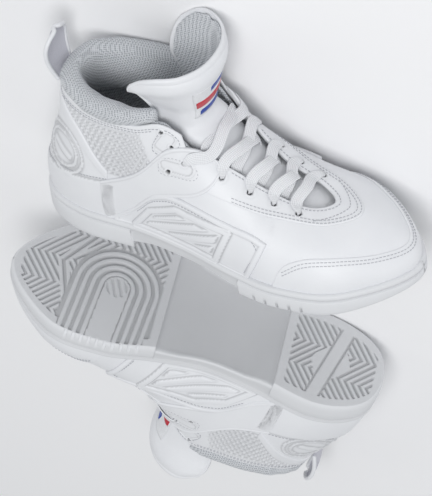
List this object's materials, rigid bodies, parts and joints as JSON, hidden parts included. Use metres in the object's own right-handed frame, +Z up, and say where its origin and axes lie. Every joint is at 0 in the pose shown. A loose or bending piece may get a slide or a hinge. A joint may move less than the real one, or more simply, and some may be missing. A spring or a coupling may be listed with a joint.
{
  "type": "cheer shoes",
  "caption": "White mid-top cheer shoes lying on their sides, sole to sole, with padded mesh collars, flat laces, bending tongue tops and pull tabs.",
  "frame": {"origin": "on the floor, under the middle of the box round both shoes", "axes": "+Z up from the floor; +X from the right shoe's toe towards its heel; +Y across both shoes, from the right shoe's collar to the left shoe's collar"},
  "size_m": [0.305, 0.4318, 0.1053],
  "materials": {
    "white_leather": "smooth coated leather, low sheen",
    "white_rubber": "moulded, matt",
    "grey_mesh": "woven spacer mesh",
    "webbing": "woven tape with a bound edge",
    "lace_weave": "flat woven",
    "insole_board": "fibre board",
    "sock_foam": "cloth-faced foam",
    "stiffener_plastic": "thermoplastic sheet",
    "spring_steel": "plain",
    "printed_mark": "printed film"
  },
  "bodies": {
    "left_shoe": {"left_outsole_forefoot": "white_rubber", "left_outsole_heel": "white_rubber", "left_midsole": "white_rubber", "left_shank": "spring_steel", "left_insole_board": "insole_board", "left_footbed": "sock_foam", "left_toe_puff": "stiffener_plastic", "left_heel_stiffener": "stiffener_plastic", "left_lining": "grey_mesh", "left_collar_pad": "grey_mesh", "left_tongue_lower": "white_leather", "left_lace": "lace_weave", "left_heel_counter": "white_leather", "left_vamp": "white_leather", "left_mudguard": "white_leather", "left_eyestay": "white_leather", "left_quarter_lateral": "white_leather", "left_saddle_lateral": "white_leather", "left_ankle_wrap_lateral": "white_leather", "left_ankle_panel_lateral": "white_leather", "left_heel_strip_lateral": "white_leather", "left_quarter_medial": "white_leather", "left_saddle_medial": "white_leather", "left_ankle_wrap_medial": "white_leather", "left_ankle_panel_medial": "white_leather", "left_heel_strip_medial": "white_leather"},
    "left_tongue_top": {"left_tongue_flap": "white_leather", "left_tongue_mark": "printed_mark"},
    "left_pull_tab": {"left_pull_tab": "webbing"},
    "right_shoe": {"right_outsole_forefoot": "white_rubber", "right_outsole_heel": "white_rubber", "right_midsole": "white_rubber", "right_shank": "spring_steel", "right_insole_board": "insole_board", "right_footbed": "sock_foam", "right_toe_puff": "stiffener_plastic", "right_heel_stiffener": "stiffener_plastic", "right_lining": "grey_mesh", "right_collar_pad": "grey_mesh", "right_tongue_lower": "white_leather", "right_lace": "lace_weave", "right_heel_counter": "white_leather", "right_vamp": "white_leather", "right_mudguard": "white_leather", "right_eyestay": "white_leather", "right_quarter_lateral": "white_leather", "right_saddle_lateral": "white_leather", "right_ankle_wrap_lateral": "white_leather", "right_ankle_panel_lateral": "white_leather", "right_heel_strip_lateral": "white_leather", "right_quarter_medial": "white_leather", "right_saddle_medial": "white_leather", "right_ankle_wrap_medial": "white_leather", "right_ankle_panel_medial": "white_leather", "right_heel_strip_medial": "white_leather"},
    "right_tongue_top": {"right_tongue_flap": "white_leather", "right_tongue_mark": "printed_mark"},
    "right_pull_tab": {"right_pull_tab": "webbing"}
  },
  "joints": [
    {"name": "right_shoe_lift", "type": "slide", "parent": "left_shoe", "child": "right_shoe", "axis": [0, 0, 1], "range_m": [0, 0.25]},
    {"name": "left_tongue_bend", "type": "hinge", "parent": "left_shoe", "child": "left_tongue_top", "pos_m": [0.05125, 0.15324, 0.04085], "axis": [0.0804, -0.0733, -0.9941], "range_deg": [0, 35], "stiffness_Nm_per_rad": 0.02},
    {"name": "left_pull_tab_bend", "type": "hinge", "parent": "left_shoe", "child": "left_pull_tab", "pos_m": [-0.04507, 0.18097, 0.03101], "axis": [-0.0804, 0.0733, 0.9941], "range_deg": [-5, 60], "stiffness_Nm_per_rad": 0.002},
    {"name": "right_tongue_bend", "type": "hinge", "parent": "right_shoe", "child": "right_tongue_top", "pos_m": [-0.0056, -0.17181, 0.04041], "axis": [-0.086, 0.0334, -0.9957], "range_deg": [0, 35], "stiffness_Nm_per_rad": 0.02},
    {"name": "right_pull_tab_bend", "type": "hinge", "parent": "right_shoe", "child": "right_pull_tab", "pos_m": [0.09446, -0.16405, 0.03203], "axis": [0.086, -0.0334, 0.9957], "range_deg": [-5, 60], "stiffness_Nm_per_rad": 0.002}
  ]
}
